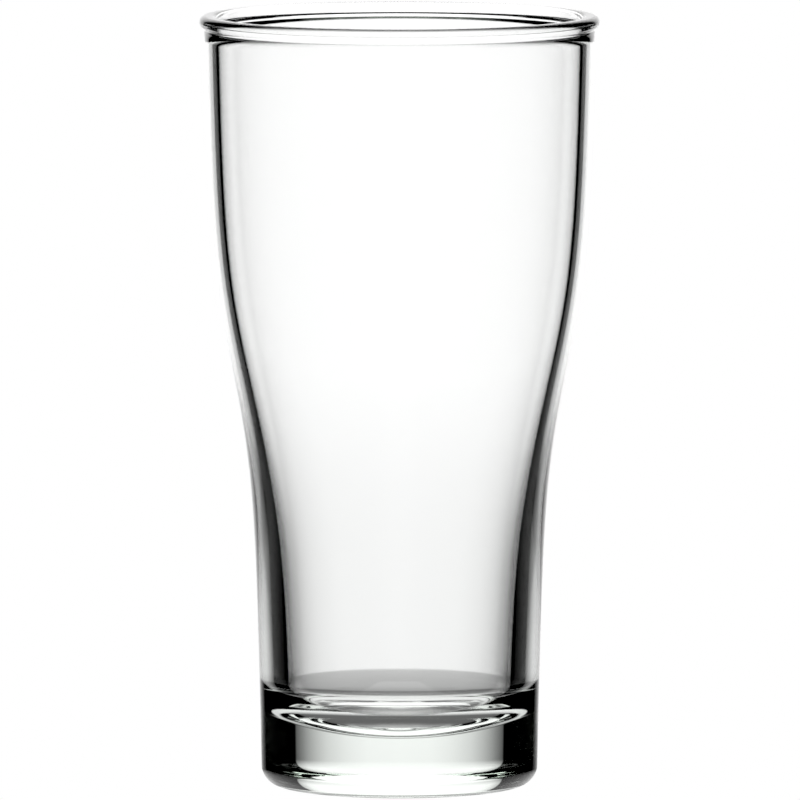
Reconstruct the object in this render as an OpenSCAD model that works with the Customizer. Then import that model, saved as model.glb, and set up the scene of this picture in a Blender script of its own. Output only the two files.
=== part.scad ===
// Pint glass with a soft flare, a rolled lip and a thick foot, all one piece of clear glass.
// +Z is the axis of the glass. The origin is the middle of the flat ring that it stands on.

/* [Overall size] */
// Height from the table to the top of the lip
height = 173; // [144:1:208]
// Outside diameter of the foot, where the wall's line meets the table
foot_d = 61.7; // [52:0.1:76]
// Outside diameter of the wall at the mouth, without the lip's overhang
mouth_d = 87.5; // [73:0.1:106]

/* [Flare] */
// Outward lean of the wall on each side, in degrees
draft_angle = 1.25; // [0:0.05:2.5]
// Height of the middle of the flare
flare_z = 94; // [75:0.2:115]
// Softness of the flare: a small value makes a sudden shoulder
flare_spread = 13; // [8:0.5:18]

/* [Wall] */
// Thickness of the wall at the lip
lip_wall = 3.1; // [2:0.1:4.5]
// Thickness of the wall just above the foot
foot_wall = 6.5; // [4:0.1:8]
// Height at which the wall is half way between its two thicknesses
thicken_z = 61; // [45:1:80]
// Softness of the change in thickness
thicken_spread = 11.5; // [6:0.5:16]

/* [Lip] */
// Height of the rolled lip, which is the diameter of its round edges
lip_h = 2.9; // [2:0.1:4]
// How far the lip stands out past the wall
lip_overhang = 1.05; // [0.4:0.05:1.6]
// Radius of the fillet under the lip
lip_fillet = 0.8; // [0.4:0.1:1.5]

/* [Foot] */
// Thickness of the foot in its middle, from the table to the lowest point of the cup's floor
floor_z = 11.8; // [9:0.1:20]
// Radius of the cup's round floor
floor_r = 53; // [42:1:80]
// Radius of the corner between the cup's floor and its wall
corner_r = 9.5; // [4:0.5:12]
// Radius of the heel, where the foot turns under
heel_r = 4.4; // [3:0.1:7]

/* [Underside] */
// Width of the flat ring that the glass stands on, between the heel and the hollow
ring_w = 4.6; // [1.5:0.1:10]
// Height of the hollow under the foot, at its middle
hollow_h = 3.6; // [1:0.1:5]
// Diameter of the moulding mark in the middle of the hollow
mark_d = 7; // [3:0.5:10]
// How far the moulding mark is pressed up into the glass
mark_h = 0.4; // [0.2:0.1:0.8]

/* [Hidden] */

// Straight steps in each curved wall line, and sides on each round
wall_steps = 48;
round_fn = 180;
floor_fn = 360;
// Passes that settle the corner to well under a micrometre
corner_passes = 8;
// How far one outline runs into the next, so that no sliver is left between them
lap = 0.5;

lip_r = lip_h / 2;
lip_z = height - lip_r;
foot_r = foot_d / 2;
mouth_r = mouth_d / 2;

// A smooth step from 0 to 1 around t = 0
function smooth_step(t) = 1 / (1 + exp(-t));

// Share of the flare that has happened at height z, which is 0 on the table and 1 at the top
flare_low = smooth_step(-flare_z / flare_spread);
flare_high = smooth_step((height - flare_z) / flare_spread);
function flare_share(z) =
    (smooth_step((z - flare_z) / flare_spread) - flare_low) / (flare_high - flare_low);

// Radius of the outside of the wall: a straight lean plus the flare
lean = height * tan(draft_angle);
flare = mouth_r - foot_r - lean;
function outer_r(z) = foot_r + z * tan(draft_angle) + flare * flare_share(z);

// Outside and inside radius of the flat ring that the glass stands on
ring_out_r = outer_r(heel_r) - heel_r;
ring_in_r = ring_out_r - ring_w;

// Thickness of the wall, and the radius of its inside
function wall_at(z) =
    lip_wall + (foot_wall - lip_wall) * smooth_step((thicken_z - z) / thicken_spread);
function inner_r(z) = outer_r(z) - wall_at(z);

// A sphere's radius from the radius and the height of its cap
function cap_sphere_r(r, h) = (r * r + h * h) / (2 * h);

// Radius and height of the middle of the corner: its round touches the wall on one side, and the
// floor's sphere on the other. Each pass starts from the height that the last one found.
function corner_pass(z, passes) =
    let (
        x = inner_r(z) - corner_r,
        reach = floor_r - corner_r,
        found = floor_z + floor_r - sqrt(reach * reach - x * x)
    )
    passes == 0 ? [x, found] : corner_pass(found, passes - 1);

// Heights spread evenly from z0 to z1
function steps(z0, z1) = [for (i = [0 : wall_steps]) z0 + (z1 - z0) * i / wall_steps];

// Outside of the wall, from the heel up to the middle of the lip, filled in to the axis
module wall_section() {
    line = [for (z = steps(heel_r, lip_z)) [outer_r(z), z]];
    polygon(concat([[0, heel_r]], line, [[0, lip_z]]));
}

// Round heel and the flat that the glass stands on
module heel_section() {
    translate([ring_out_r, heel_r]) circle(r = heel_r, $fn = round_fn);
    square([ring_out_r, heel_r + lap]);
}

// Rolled lip: two round edges with a narrow flat between them, filled in to the axis
module lip_section() {
    edge_x = mouth_r + lip_overhang - lip_r;
    translate([edge_x, lip_z]) circle(r = lip_r, $fn = round_fn);
    translate([0, lip_z - lip_r]) square([edge_x, lip_h]);
}

// Fillet in the corner between the wall and the underside of the lip
module lip_fillet_section() {
    edge_x = mouth_r + lip_overhang - lip_r;
    centre_x = outer_r(lip_z - lip_h) + lip_fillet;
    reach = lip_r + lip_fillet;
    centre_z = lip_z - sqrt(reach * reach - (centre_x - edge_x) * (centre_x - edge_x));
    difference() {
        polygon([
            [centre_x - lip_fillet - lap, centre_z],
            [centre_x, centre_z],
            [edge_x, lip_z],
            [centre_x - lip_fillet - lap, lip_z]
        ]);
        translate([centre_x, centre_z]) circle(r = lip_fillet, $fn = round_fn);
    }
}

// Everything inside the outer surface
module outer_section() {
    wall_section();
    heel_section();
    lip_section();
    lip_fillet_section();
}

// Rounding of the mouth's inner edge, which is taken off the lip
module mouth_edge_section() {
    edge_x = inner_r(lip_z) + lip_r;
    difference() {
        translate([edge_x - lip_r - lap, lip_z]) square([lip_r + lap, lip_r + lap]);
        translate([edge_x, lip_z]) circle(r = lip_r, $fn = round_fn);
    }
}

// The space for the drink: tapered wall, round corner, and a round floor
module cup_section() {
    corner = corner_pass(floor_z + corner_r, corner_passes);
    corner_x = corner[0];
    corner_z = corner[1];
    line = [for (z = steps(corner_z, lip_z)) [inner_r(z), z]];
    polygon(concat([[0, corner_z]], line, [[inner_r(lip_z), height + lap], [0, height + lap]]));
    translate([corner_x, corner_z]) circle(r = corner_r, $fn = round_fn);
    // The floor's sphere, down to its lowest point from where it meets the corner's round
    ball_z = floor_z + floor_r;
    meet = floor_r / (floor_r - corner_r);
    meet_x = corner_x * meet;
    meet_z = ball_z + (corner_z - ball_z) * meet;
    intersection() {
        translate([0, ball_z]) circle(r = floor_r, $fn = floor_fn);
        polygon([
            [0, floor_z - lap],
            [meet_x, floor_z - lap],
            [meet_x, meet_z],
            [corner_x, corner_z],
            [0, corner_z]
        ]);
    }
}

// A round cap that is base_z high at its edge and rise higher in its middle
module cap_section(edge_r, rise, base_z) {
    ball_r = cap_sphere_r(edge_r, rise);
    intersection() {
        translate([0, base_z + rise - ball_r]) circle(r = ball_r, $fn = floor_fn);
        translate([0, base_z - lap]) square([edge_r + lap, rise + 2 * lap]);
    }
}

// The hollow under the foot, and the moulding mark pressed up into its middle
module hollow_section() {
    cap_section(ring_in_r, hollow_h, 0);
    cap_section(mark_d / 2, mark_h, hollow_h);
}

module glass_section() {
    difference() {
        outer_section();
        cup_section();
        mouth_edge_section();
        hollow_section();
    }
}

module glass_body() {
    color([0.80, 0.86, 0.84, 0.5])
        rotate_extrude($fn = round_fn) intersection() {
            glass_section();
            square([mouth_r + lip_overhang + lap, height + lap]);
        }
}

glass_body();
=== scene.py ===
import math

import bpy
import numpy as np
from bpy.props import FloatProperty, FloatVectorProperty, IntProperty, PointerProperty
from bpy.types import Operator, Panel, PropertyGroup
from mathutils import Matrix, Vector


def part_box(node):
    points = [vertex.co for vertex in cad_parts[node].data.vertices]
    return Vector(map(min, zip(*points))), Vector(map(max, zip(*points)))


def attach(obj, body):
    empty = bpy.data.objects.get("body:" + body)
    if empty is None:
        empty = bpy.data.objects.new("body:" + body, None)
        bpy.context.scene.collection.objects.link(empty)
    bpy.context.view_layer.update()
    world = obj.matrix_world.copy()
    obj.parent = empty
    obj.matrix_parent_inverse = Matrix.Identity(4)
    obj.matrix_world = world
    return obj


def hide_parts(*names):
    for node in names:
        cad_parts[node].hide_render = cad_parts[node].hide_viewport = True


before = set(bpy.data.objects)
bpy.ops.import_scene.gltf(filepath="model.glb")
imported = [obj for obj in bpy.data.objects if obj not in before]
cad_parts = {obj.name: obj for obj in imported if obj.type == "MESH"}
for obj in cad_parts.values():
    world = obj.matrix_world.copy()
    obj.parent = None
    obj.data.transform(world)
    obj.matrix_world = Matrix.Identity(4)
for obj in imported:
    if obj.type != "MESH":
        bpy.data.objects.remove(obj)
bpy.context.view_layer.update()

bl_info = {
    "name": "Pint Glass",
    "version": (1, 0, 0),
    "blender": (4, 5, 0),
    "location": "View3D > Sidebar > Pint Glass",
    "description": "Builds a flared pint glass and a pale studio to look at it in",
    "category": "Add Mesh",
}

BODY_LOW, BODY_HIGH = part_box("glass_body")

# Points along each stretch of the outline
FLOOR_POINTS = 40
CORNER_POINTS = 24
WALL_POINTS = 72
LIP_IN_POINTS = 14
LIP_OUT_POINTS = 24
FILLET_POINTS = 8
HEEL_POINTS = 24
RING_POINTS = 10
HOLLOW_POINTS = 28
MARK_POINTS = 14
# Passes that settle the corner between the cup's floor and its wall
CORNER_PASSES = 6
# Points closer together than this are one point
MERGE_GAP = 2e-6
# The mark's fine points start this many diameters from the axis, which is just outside the mark
MARK_START = 0.6

# The mat, a glowing sheet of painted shadow, and the floor lie just under the foot, one below the
# other
SHADOW_MAT_GAP = 0.0002
FLOOR_GAP = 0.0004
FLOOR_HALF = 20.0
MAT_SIDES = 96
VIEW_REACH = 100.0

# Brightness across the backdrop, from its middle to its side edges: high up, and low down, where
# the sheet also carries the painted shade and reflection of a table top
ACROSS_HIGH = ((0.0, 1.0), (0.60, 1.0), (0.80, 0.85), (0.97, 0.45), (1.0, 0.0))
ACROSS_LOW = (
    (0.0, 0.90), (0.20, 0.88), (0.34, 0.80), (0.52, 0.64),
    (0.69, 0.42), (0.84, 0.23), (0.97, 0.10), (1.0, 0.0),
)
# Brightness of the backdrop from its bottom edge up to its middle: the grey below the level of the
# table is painted shade and reflection of a table top
UPWARD = (
    (0.0, 0.25), (0.22, 0.27), (0.44, 0.17), (0.48, 0.35), (0.54, 0.48),
    (0.68, 0.56), (0.73, 0.62), (0.75, 0.95), (0.79, 1.0),
)
# Painted shade on the mat, from its middle to its edge: painted shadow under and around the glass,
# with a painted pool of light at the ring
PAINTED_SHADOW_OUTWARD = (
    (0.0, 0.40), (0.20, 0.38), (0.29, 0.20), (0.36, 0.14), (0.58, 0.15),
    (0.63, 0.60), (0.67, 1.0), (0.78, 0.85), (0.91, 0.35), (1.0, 0.2),
)


# ---------------------------------------------------------------- sizes and colours


class GlassSizes(PropertyGroup):
    """Sizes of the glass, which repeat the ones that the frame was made with."""

    height: FloatProperty(
        name="Height", description="From the table to the top of the lip",
        default=BODY_HIGH[2] - BODY_LOW[2], subtype="DISTANCE", unit="LENGTH",
    )
    foot_d: FloatProperty(
        name="Foot diameter", description="Where the line of the wall meets the table",
        default=0.0617, subtype="DISTANCE", unit="LENGTH",
    )
    mouth_d: FloatProperty(
        name="Mouth diameter", description="Outside of the wall at the mouth, without the lip",
        default=0.0875, subtype="DISTANCE", unit="LENGTH",
    )
    draft: FloatProperty(
        name="Lean", description="Outward lean of the wall on each side",
        default=math.radians(1.25), subtype="ANGLE", unit="ROTATION",
    )
    flare_z: FloatProperty(
        name="Flare height", description="Height of the middle of the flare",
        default=0.094, subtype="DISTANCE", unit="LENGTH",
    )
    flare_spread: FloatProperty(
        name="Flare softness", description="A small value makes a sudden shoulder",
        default=0.013, subtype="DISTANCE", unit="LENGTH",
    )
    lip_wall: FloatProperty(
        name="Wall at the lip", description="Thickness of the wall at the lip",
        default=0.0031, subtype="DISTANCE", unit="LENGTH",
    )
    foot_wall: FloatProperty(
        name="Wall at the foot", description="Thickness of the wall just above the foot",
        default=0.0065, subtype="DISTANCE", unit="LENGTH",
    )
    thicken_z: FloatProperty(
        name="Thickening height", description="Where the wall is between its two thicknesses",
        default=0.061, subtype="DISTANCE", unit="LENGTH",
    )
    thicken_spread: FloatProperty(
        name="Thickening softness", description="Softness of the change in thickness",
        default=0.0115, subtype="DISTANCE", unit="LENGTH",
    )
    lip_h: FloatProperty(
        name="Lip height", description="Height of the rolled lip",
        default=0.0029, subtype="DISTANCE", unit="LENGTH",
    )
    lip_overhang: FloatProperty(
        name="Lip overhang", description="How far the lip stands out past the wall",
        default=0.00105, subtype="DISTANCE", unit="LENGTH",
    )
    lip_fillet: FloatProperty(
        name="Lip fillet", description="Radius of the fillet under the lip",
        default=0.0008, subtype="DISTANCE", unit="LENGTH",
    )
    floor_z: FloatProperty(
        name="Floor height", description="Height of the lowest point of the cup's round floor",
        default=0.0118, subtype="DISTANCE", unit="LENGTH",
    )
    floor_r: FloatProperty(
        name="Floor radius", description="Radius of the sphere that the cup's floor follows",
        default=0.053, subtype="DISTANCE", unit="LENGTH",
    )
    corner_r: FloatProperty(
        name="Floor corner", description="Radius between the cup's floor and its wall",
        default=0.0095, subtype="DISTANCE", unit="LENGTH",
    )
    heel_r: FloatProperty(
        name="Heel radius", description="Radius where the foot turns under",
        default=0.0044, subtype="DISTANCE", unit="LENGTH",
    )
    ring_w: FloatProperty(
        name="Ring width", description="Width of the flat ring that the glass stands on",
        default=0.0046, subtype="DISTANCE", unit="LENGTH",
    )
    hollow_h: FloatProperty(
        name="Hollow height", description="Height of the hollow at its middle",
        default=0.0036, subtype="DISTANCE", unit="LENGTH",
    )
    mark_d: FloatProperty(
        name="Mark diameter", description="Moulding mark in the middle of the hollow",
        default=0.007, subtype="DISTANCE", unit="LENGTH",
    )
    mark_h: FloatProperty(
        name="Mark height", description="How far the moulding mark is pressed up into the glass",
        default=0.0004, subtype="DISTANCE", unit="LENGTH",
    )
    sides: IntProperty(
        name="Sides", description="Faces around the glass", default=288, min=64, max=360,
    )


class GlassLook(PropertyGroup):
    """Finish of the glass."""

    ior: FloatProperty(
        name="Refractive index", description="How strongly the glass bends light", default=1.52,
    )
    tint: FloatVectorProperty(
        name="Tint", description="Colour that thick glass takes on",
        default=(0.58, 0.84, 0.60), subtype="COLOR",
    )
    tint_density: FloatProperty(
        name="Tint density", description="Absorption per metre of glass", default=2.5,
    )


class StudioSettings(PropertyGroup):
    """Camera, backdrop and floor."""

    camera_distance: FloatProperty(
        name="Camera distance", description="Level distance from the camera to the glass",
        default=3.5056, subtype="DISTANCE", unit="LENGTH",
    )
    camera_height: FloatProperty(
        name="Camera height", description="Height of the camera above the table",
        default=0.4304, subtype="DISTANCE", unit="LENGTH",
    )
    camera_side: FloatProperty(
        name="Camera side", description="Sideways place of the camera",
        default=0.00012, subtype="DISTANCE", unit="LENGTH",
    )
    aim_height: FloatProperty(
        name="Aim height", description="Height on the axis that the camera looks at",
        default=0.08658, subtype="DISTANCE", unit="LENGTH",
    )
    view_angle: FloatProperty(
        name="View angle", description="Field of view of the camera",
        default=math.radians(2.9155), subtype="ANGLE", unit="ROTATION",
    )
    backdrop_gap: FloatProperty(
        name="Backdrop gap", description="Distance from the glass to the lit sheet behind it",
        default=0.30, subtype="DISTANCE", unit="LENGTH",
    )
    backdrop_w: FloatProperty(
        name="Backdrop width", description="Width of the lit sheet",
        default=0.396, subtype="DISTANCE", unit="LENGTH",
    )
    backdrop_up: FloatProperty(
        name="Backdrop above", description="Reach of the lit sheet above its middle",
        default=0.45, subtype="DISTANCE", unit="LENGTH",
    )
    backdrop_down: FloatProperty(
        name="Backdrop below", description="Reach of the lit sheet below its middle",
        default=0.32, subtype="DISTANCE", unit="LENGTH",
    )
    backdrop_fade: FloatProperty(
        name="Backdrop fade", description="Depth below its middle over which the sides fade",
        default=0.075, subtype="DISTANCE", unit="LENGTH",
    )
    backdrop_glow: FloatProperty(
        name="Backdrop brightness", description="Brightness in the middle", default=1.2,
    )
    overhead_z: FloatProperty(
        name="Overhead height", description="Height of the soft panel over the glass",
        default=0.60, subtype="DISTANCE", unit="LENGTH",
    )
    overhead_w: FloatProperty(
        name="Overhead width", description="Width of the soft panel over the glass",
        default=0.70, subtype="DISTANCE", unit="LENGTH",
    )
    overhead_front: FloatProperty(
        name="Overhead front", description="Reach of the soft panel towards the camera",
        default=0.70, subtype="DISTANCE", unit="LENGTH",
    )
    overhead_back: FloatProperty(
        name="Overhead back", description="Reach of the soft panel away from the camera",
        default=0.25, subtype="DISTANCE", unit="LENGTH",
    )
    overhead_glow: FloatProperty(
        name="Overhead brightness", description="Brightness of the soft panel", default=1.6,
    )
    # Size of the sheet of painted shadow under the glass
    shadow_mat_r: FloatProperty(
        name="Mat radius", description="Radius of the sheet of painted shadow that shows only through the glass",
        default=0.045, subtype="DISTANCE", unit="LENGTH",
    )


# ---------------------------------------------------------------- outline of the glass


def smooth_step(t):
    """A step from 0 to 1 around t = 0: one over one plus e to the minus t."""
    return 1.0 / (1.0 + np.exp(-t))


def outer_radius(s, z):
    """Foot radius, plus a straight lean, plus the flare's share of a smooth step at height z."""
    low = smooth_step(-s.flare_z / s.flare_spread)
    high = smooth_step((s.height - s.flare_z) / s.flare_spread)
    share = (smooth_step((z - s.flare_z) / s.flare_spread) - low) / (high - low)
    lean = math.tan(s.draft)
    flare = s.mouth_d / 2 - s.foot_d / 2 - s.height * lean
    return s.foot_d / 2 + z * lean + flare * share


def inner_radius(s, z):
    """Outer radius less the wall, which thins upwards from foot to lip by a smooth step."""
    extra = (s.foot_wall - s.lip_wall) * smooth_step((s.thicken_z - z) / s.thicken_spread)
    return outer_radius(s, z) - s.lip_wall - extra


def arc(centre, radius, start, end, count):
    """Points on a circle about centre, from the start angle to the end angle in degrees."""
    a = np.radians(np.linspace(start, end, count))
    return np.stack([centre[0] + radius * np.cos(a), centre[1] + radius * np.sin(a)], axis=1)


def dome(edge_r, rise, base_z, r):
    """Height at radius r on a sphere that is at base_z at edge_r, and rise higher in its middle."""
    ball = (edge_r**2 + rise**2) / (2 * rise)
    return base_z + rise - ball + np.sqrt(ball**2 - r**2)


def corner_centre(s):
    """Centre of the arc that touches both the cup's wall and its floor: one corner radius in from
    the wall, and the difference of the two radii away from the middle of the floor's sphere."""
    z = s.floor_z + s.floor_r / 3
    for _ in range(CORNER_PASSES):
        x = float(inner_radius(s, z)) - s.corner_r
        z = s.floor_z + s.floor_r - math.sqrt((s.floor_r - s.corner_r) ** 2 - x**2)
    return x, z


def glass_outline(s):
    """Half section of the glass as (radius, height) points, from the middle of the cup's floor
    up the inside, over the lip, down the outside and in to the middle of the hollow."""
    lip_r = s.lip_h / 2
    lip_z = s.height - lip_r
    corner_x, corner_z = corner_centre(s)
    ball_z = s.floor_z + s.floor_r
    meet = math.degrees(math.atan2(corner_z - ball_z, corner_x))
    floor = arc((0.0, ball_z), s.floor_r, -90, meet, FLOOR_POINTS)
    corner = arc((corner_x, corner_z), s.corner_r, meet, 0, CORNER_POINTS)
    z = np.linspace(corner_z, lip_z, WALL_POINTS)
    inside = np.stack([inner_radius(s, z), z], axis=1)

    inner_edge_x = float(inner_radius(s, lip_z)) + lip_r
    outer_edge_x = s.mouth_d / 2 + s.lip_overhang - lip_r
    lip_in = arc((inner_edge_x, lip_z), lip_r, 180, 90, LIP_IN_POINTS)

    fillet_x = float(outer_radius(s, lip_z - s.lip_h)) + s.lip_fillet
    reach = lip_r + s.lip_fillet
    drop = math.sqrt(reach**2 - (fillet_x - outer_edge_x) ** 2)
    fillet_z = lip_z - drop
    meet = math.degrees(math.atan2(-drop, fillet_x - outer_edge_x))
    lip_out = arc((outer_edge_x, lip_z), lip_r, 90, meet, LIP_OUT_POINTS)
    fillet = arc((fillet_x, fillet_z), s.lip_fillet, meet + 180, 180, FILLET_POINTS)

    z = np.linspace(fillet_z, s.heel_r, WALL_POINTS)
    outside = np.stack([outer_radius(s, z), z], axis=1)
    heel_x = float(outer_radius(s, s.heel_r)) - s.heel_r
    heel = arc((heel_x, s.heel_r), s.heel_r, 0, -90, HEEL_POINTS)

    hollow_r = heel_x - s.ring_w
    r = np.linspace(heel_x, hollow_r, RING_POINTS)
    ring = np.stack([r, np.zeros_like(r)], axis=1)
    mark_start = MARK_START * s.mark_d
    r = np.linspace(hollow_r, mark_start, HOLLOW_POINTS)
    hollow = np.stack([r, dome(hollow_r, s.hollow_h, 0.0, r)], axis=1)
    r = np.linspace(mark_start, 0.0, MARK_POINTS)
    rise = np.maximum(
        dome(hollow_r, s.hollow_h, 0.0, r), dome(s.mark_d / 2, s.mark_h, s.hollow_h, r)
    )
    mark = np.stack([r, rise], axis=1)

    parts = [floor, corner, inside, lip_in, lip_out, fillet, outside, heel, ring, hollow, mark]
    points = np.concatenate(parts)
    gap = np.linalg.norm(np.diff(points, axis=0), axis=1)
    return points[np.concatenate([[True], gap > MERGE_GAP])]


def revolve(name, points, sides):
    """Turns the outline once about Z. Its two ends are on the axis, and each is one vertex with a
    fan of triangles; the rings between are joined by quads that face out of the solid."""
    turn = np.linspace(0.0, 2 * math.pi, sides, endpoint=False)
    radius, height = points[1:-1, 0], points[1:-1, 1]
    x = radius[:, None] * np.cos(turn)
    y = radius[:, None] * np.sin(turn)
    z = np.repeat(height[:, None], sides, axis=1)
    rings = np.stack([x, y, z], axis=2).reshape(-1, 3)
    ends = np.array([[0.0, 0.0, points[0, 1]], [0.0, 0.0, points[-1, 1]]])
    vertices = np.concatenate([rings, ends])
    first_pole, last_pole = len(rings), len(rings) + 1

    row = np.arange(len(radius) - 1)[:, None] * sides
    here = np.arange(sides)[None, :]
    after = (here + 1) % sides
    quads = np.stack(
        [row + here, row + sides + here, row + sides + after, row + after], axis=2
    ).reshape(-1, 4)
    here, after = here[0], after[0]
    last = (len(radius) - 1) * sides
    low_fan = np.stack([np.full(sides, first_pole), here, after], axis=1)
    high_fan = np.stack([np.full(sides, last_pole), last + after, last + here], axis=1)
    faces = quads.tolist() + low_fan.tolist() + high_fan.tolist()

    mesh = bpy.data.meshes.new(name)
    mesh.from_pydata(vertices.tolist(), [], faces)
    mesh.update()
    mesh.polygons.foreach_set("use_smooth", np.ones(len(faces), dtype=bool))
    piece = bpy.data.objects.new(name, mesh)
    bpy.context.collection.objects.link(piece)
    return piece


# ---------------------------------------------------------------- materials


def new_material(name):
    """A material with an empty node tree and an output."""
    material = bpy.data.materials.new(name)
    material.use_nodes = True
    nodes = material.node_tree.nodes
    nodes.clear()
    out = nodes.new("ShaderNodeOutputMaterial")
    return material, nodes, material.node_tree.links, out


def clear_glass(look):
    """Clear glass: a perfectly smooth refracting skin around a faint green tint."""
    material, nodes, links, out = new_material("clear_glass")
    skin = nodes.new("ShaderNodeBsdfPrincipled")
    skin.inputs["Base Color"].default_value = (1, 1, 1, 1)
    skin.inputs["Transmission Weight"].default_value = 1.0
    skin.inputs["Roughness"].default_value = 0.0
    skin.inputs["IOR"].default_value = look.ior
    tint = nodes.new("ShaderNodeVolumeAbsorption")
    tint.inputs["Color"].default_value = (*look.tint, 1)
    tint.inputs["Density"].default_value = look.tint_density
    links.new(skin.outputs["BSDF"], out.inputs["Surface"])
    links.new(tint.outputs["Volume"], out.inputs["Volume"])
    return material


def ramp_node(nodes, levels):
    """A grey ramp with a stop for each (position, brightness) pair."""
    ramp = nodes.new("ShaderNodeValToRGB")
    stops = ramp.color_ramp.elements
    while len(stops) < len(levels):
        stops.new(0.5)
    for stop, (position, level) in zip(stops, levels):
        stop.position = position
        stop.color = (level, level, level, 1)
    return ramp


def stretched(nodes, links, value, low, high):
    """The part of the way from low to high that a value has gone, from 0 to 1."""
    way = nodes.new("ShaderNodeMapRange")
    way.inputs["From Min"].default_value = low
    way.inputs["From Max"].default_value = high
    links.new(value, way.inputs["Value"])
    return way.outputs["Result"]


def backdrop_light_and_painted_shade(studio):
    """Light that is even over the upper part of the sheet. Lower down it fades to the sides, and
    below the level of the table it drops to grey, painted shade and reflection of a table top seen
    through the glass."""
    material, nodes, links, out = new_material("backdrop_light_and_painted_shade")
    place = nodes.new("ShaderNodeTexCoord")
    parts = nodes.new("ShaderNodeSeparateXYZ")
    side = nodes.new("ShaderNodeMath")
    side.operation = "ABSOLUTE"
    links.new(place.outputs["Object"], parts.inputs["Vector"])
    links.new(parts.outputs["X"], side.inputs[0])
    across = stretched(nodes, links, side.outputs["Value"], 0.0, studio.backdrop_w / 2)
    upward = stretched(nodes, links, parts.outputs["Y"], -studio.backdrop_down, 0.0)
    lift = stretched(nodes, links, parts.outputs["Y"], -studio.backdrop_fade, 0.0)

    high = ramp_node(nodes, ACROSS_HIGH)
    low = ramp_node(nodes, ACROSS_LOW)
    # Painted shade and reflection of a table top, at the bottom of the sheet
    painted_table_shade = ramp_node(nodes, UPWARD)
    links.new(across, high.inputs["Fac"])
    links.new(across, low.inputs["Fac"])
    links.new(upward, painted_table_shade.inputs["Fac"])
    blend = nodes.new("ShaderNodeMix")
    blend.data_type = "RGBA"
    links.new(lift, blend.inputs["Factor"])
    links.new(low.outputs["Color"], blend.inputs["A"])
    links.new(high.outputs["Color"], blend.inputs["B"])
    both = nodes.new("ShaderNodeMix")
    both.data_type = "RGBA"
    both.blend_type = "MULTIPLY"
    both.inputs["Factor"].default_value = 1.0
    links.new(blend.outputs["Result"], both.inputs["A"])
    links.new(painted_table_shade.outputs["Color"], both.inputs["B"])
    emitter = nodes.new("ShaderNodeEmission")
    emitter.inputs["Strength"].default_value = studio.backdrop_glow
    links.new(both.outputs["Result"], emitter.inputs["Color"])
    links.new(emitter.outputs["Emission"], out.inputs["Surface"])
    return material


def painted_shadow_mat(studio):
    """Painted shadow under the glass, on a sheet that glows: dark in the middle, where little light
    gets to, a painted pool of light at the ring and dark again in the glass's own soft shadow
    around it."""
    material, nodes, links, out = new_material("painted_shadow_mat")
    place = nodes.new("ShaderNodeTexCoord")
    reach = nodes.new("ShaderNodeVectorMath")
    reach.operation = "LENGTH"
    links.new(place.outputs["Object"], reach.inputs[0])
    outward = stretched(nodes, links, reach.outputs["Value"], 0.0, studio.shadow_mat_r)
    shade = ramp_node(nodes, PAINTED_SHADOW_OUTWARD)
    emitter = nodes.new("ShaderNodeEmission")
    emitter.inputs["Strength"].default_value = 1.0
    links.new(outward, shade.inputs["Fac"])
    links.new(shade.outputs["Color"], emitter.inputs["Color"])
    links.new(emitter.outputs["Emission"], out.inputs["Surface"])
    return material


def even_light(name, glow):
    """Light of one brightness."""
    material, nodes, links, out = new_material(name)
    emitter = nodes.new("ShaderNodeEmission")
    emitter.inputs["Strength"].default_value = glow
    links.new(emitter.outputs["Emission"], out.inputs["Surface"])
    return material


# ---------------------------------------------------------------- operators


class PINT_OT_glass(Operator):
    """Build the glass as one turned solid"""

    bl_idname = "pint.glass"
    bl_label = "Glass"

    def execute(self, context):
        sizes = context.scene.pint_sizes
        piece = revolve("pint_glass", glass_outline(sizes), sizes.sides)
        piece.data.materials.append(clear_glass(context.scene.pint_look))
        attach(piece, "root")
        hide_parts("glass_body")
        return {"FINISHED"}


def sheet(name, low, high, z=0.0):
    """A flat rectangle from its low corner (x, y) to its high corner, seen from +Z."""
    corners = [
        (low[0], low[1], z), (high[0], low[1], z), (high[0], high[1], z), (low[0], high[1], z),
    ]
    mesh = bpy.data.meshes.new(name)
    mesh.from_pydata(corners, [], [(0, 1, 2, 3)])
    flat = bpy.data.objects.new(name, mesh)
    bpy.context.collection.objects.link(flat)
    return flat


def disc(name, radius, z):
    """A flat round sheet about the axis."""
    turn = np.linspace(0.0, 2 * math.pi, MAT_SIDES, endpoint=False)
    rim = np.stack([radius * np.cos(turn), radius * np.sin(turn), np.full_like(turn, z)], axis=1)
    mesh = bpy.data.meshes.new(name)
    mesh.from_pydata(rim.tolist(), [], [tuple(range(len(turn)))])
    flat = bpy.data.objects.new(name, mesh)
    bpy.context.collection.objects.link(flat)
    return flat


def light_only(flat):
    """Hides a lit sheet from the camera, so that it shows only in and through the glass. It lights
    nothing else and casts no shadow."""
    flat.visible_camera = False
    flat.visible_diffuse = False
    flat.visible_shadow = False


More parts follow.
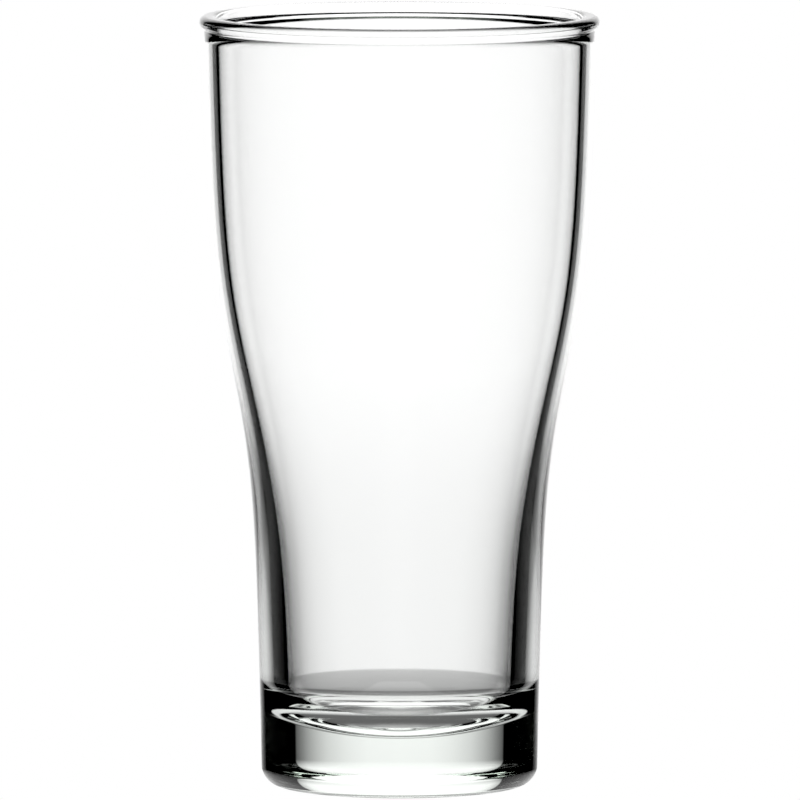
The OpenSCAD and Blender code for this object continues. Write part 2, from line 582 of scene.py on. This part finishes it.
class PINT_OT_stage(Operator):
    """Set up the camera, the lit backdrop, the floor and the surround"""

    bl_idname = "pint.stage"
    bl_label = "Stage"

    def execute(self, context):
        scene = context.scene
        studio = scene.pint_studio
        sizes = scene.pint_sizes
        data = bpy.data.cameras.new("camera")
        camera = bpy.data.objects.new("camera", data)
        scene.collection.objects.link(camera)
        scene.camera = camera
        data.angle = studio.view_angle
        data.clip_end = VIEW_REACH
        camera.location = (studio.camera_side, -studio.camera_distance, studio.camera_height)
        fall = math.atan2(studio.camera_height - studio.aim_height, studio.camera_distance)
        camera.rotation_euler = (math.pi / 2 - fall, 0.0, 0.0)

        # The backdrop hangs on a rig that turns to stay behind the glass from any camera place
        rig = bpy.data.objects.new("light_rig", None)
        scene.collection.objects.link(rig)
        rig.location = (0.0, 0.0, sizes.height / 2)
        face = rig.constraints.new("TRACK_TO")
        face.target = camera
        face.track_axis = "TRACK_Z"
        face.up_axis = "UP_Y"
        half_w = studio.backdrop_w / 2
        backdrop = sheet("backdrop", (-half_w, -studio.backdrop_down), (half_w, studio.backdrop_up))
        backdrop.data.materials.append(backdrop_light_and_painted_shade(studio))
        backdrop.parent = rig
        backdrop.location = (0, 0, -studio.backdrop_gap)
        light_only(backdrop)

        low = (-studio.overhead_w / 2, -studio.overhead_front)
        high = (studio.overhead_w / 2, studio.overhead_back)
        overhead = sheet("overhead", low, high, studio.overhead_z)
        overhead.data.materials.append(even_light("overhead_light", studio.overhead_glow))
        light_only(overhead)

        # A glowing sheet with painted shadow and a painted pool of light, seen only through the
        # glass
        shadow_mat = disc("shadow_mat", studio.shadow_mat_r, BODY_LOW[2] - SHADOW_MAT_GAP)
        shadow_mat.data.materials.append(painted_shadow_mat(studio))
        light_only(shadow_mat)

        low, high = (-FLOOR_HALF, -FLOOR_HALF), (FLOOR_HALF, FLOOR_HALF)
        floor = sheet("floor", low, high, BODY_LOW[2] - FLOOR_GAP)
        floor.data.materials.append(even_light("pale_floor", 1.0))
        floor.visible_transmission = False
        floor.visible_glossy = False

        # The surround is white to the camera and black to the glass
        world = bpy.data.worlds.new("surround")
        scene.world = world
        world.use_nodes = True
        nodes, links = world.node_tree.nodes, world.node_tree.links
        nodes.clear()
        out = nodes.new("ShaderNodeOutputWorld")
        path = nodes.new("ShaderNodeLightPath")
        glow = nodes.new("ShaderNodeBackground")
        glow.inputs["Color"].default_value = (1, 1, 1, 1)
        links.new(path.outputs["Is Camera Ray"], glow.inputs["Strength"])
        links.new(glow.outputs["Background"], out.inputs["Surface"])
        scene.view_settings.view_transform = "Standard"
        return {"FINISHED"}


class PINT_PT_panel(Panel):
    """Sidebar page that lists the glass and its stage"""

    bl_idname = "PINT_PT_panel"
    bl_label = "Pint Glass"
    bl_space_type = "VIEW_3D"
    bl_region_type = "UI"
    bl_category = "Pint Glass"

    def draw(self, context):
        layout = self.layout
        for group in ("pint_sizes", "pint_look", "pint_studio"):
            box = layout.box()
            settings = getattr(context.scene, group)
            for key in settings.__annotations__:
                box.prop(settings, key)
        layout.operator(PINT_OT_glass.bl_idname)
        layout.operator(PINT_OT_stage.bl_idname)


CLASSES = (GlassSizes, GlassLook, StudioSettings, PINT_OT_glass, PINT_OT_stage, PINT_PT_panel)


def register():
    for each in CLASSES:
        bpy.utils.register_class(each)
    bpy.types.Scene.pint_sizes = PointerProperty(type=GlassSizes)
    bpy.types.Scene.pint_look = PointerProperty(type=GlassLook)
    bpy.types.Scene.pint_studio = PointerProperty(type=StudioSettings)


def unregister():
    del bpy.types.Scene.pint_studio
    del bpy.types.Scene.pint_look
    del bpy.types.Scene.pint_sizes
    for each in reversed(CLASSES):
        bpy.utils.unregister_class(each)


def main():
    register()
    bpy.ops.pint.glass()
    bpy.ops.pint.stage()


if __name__ == "__main__":
    main()
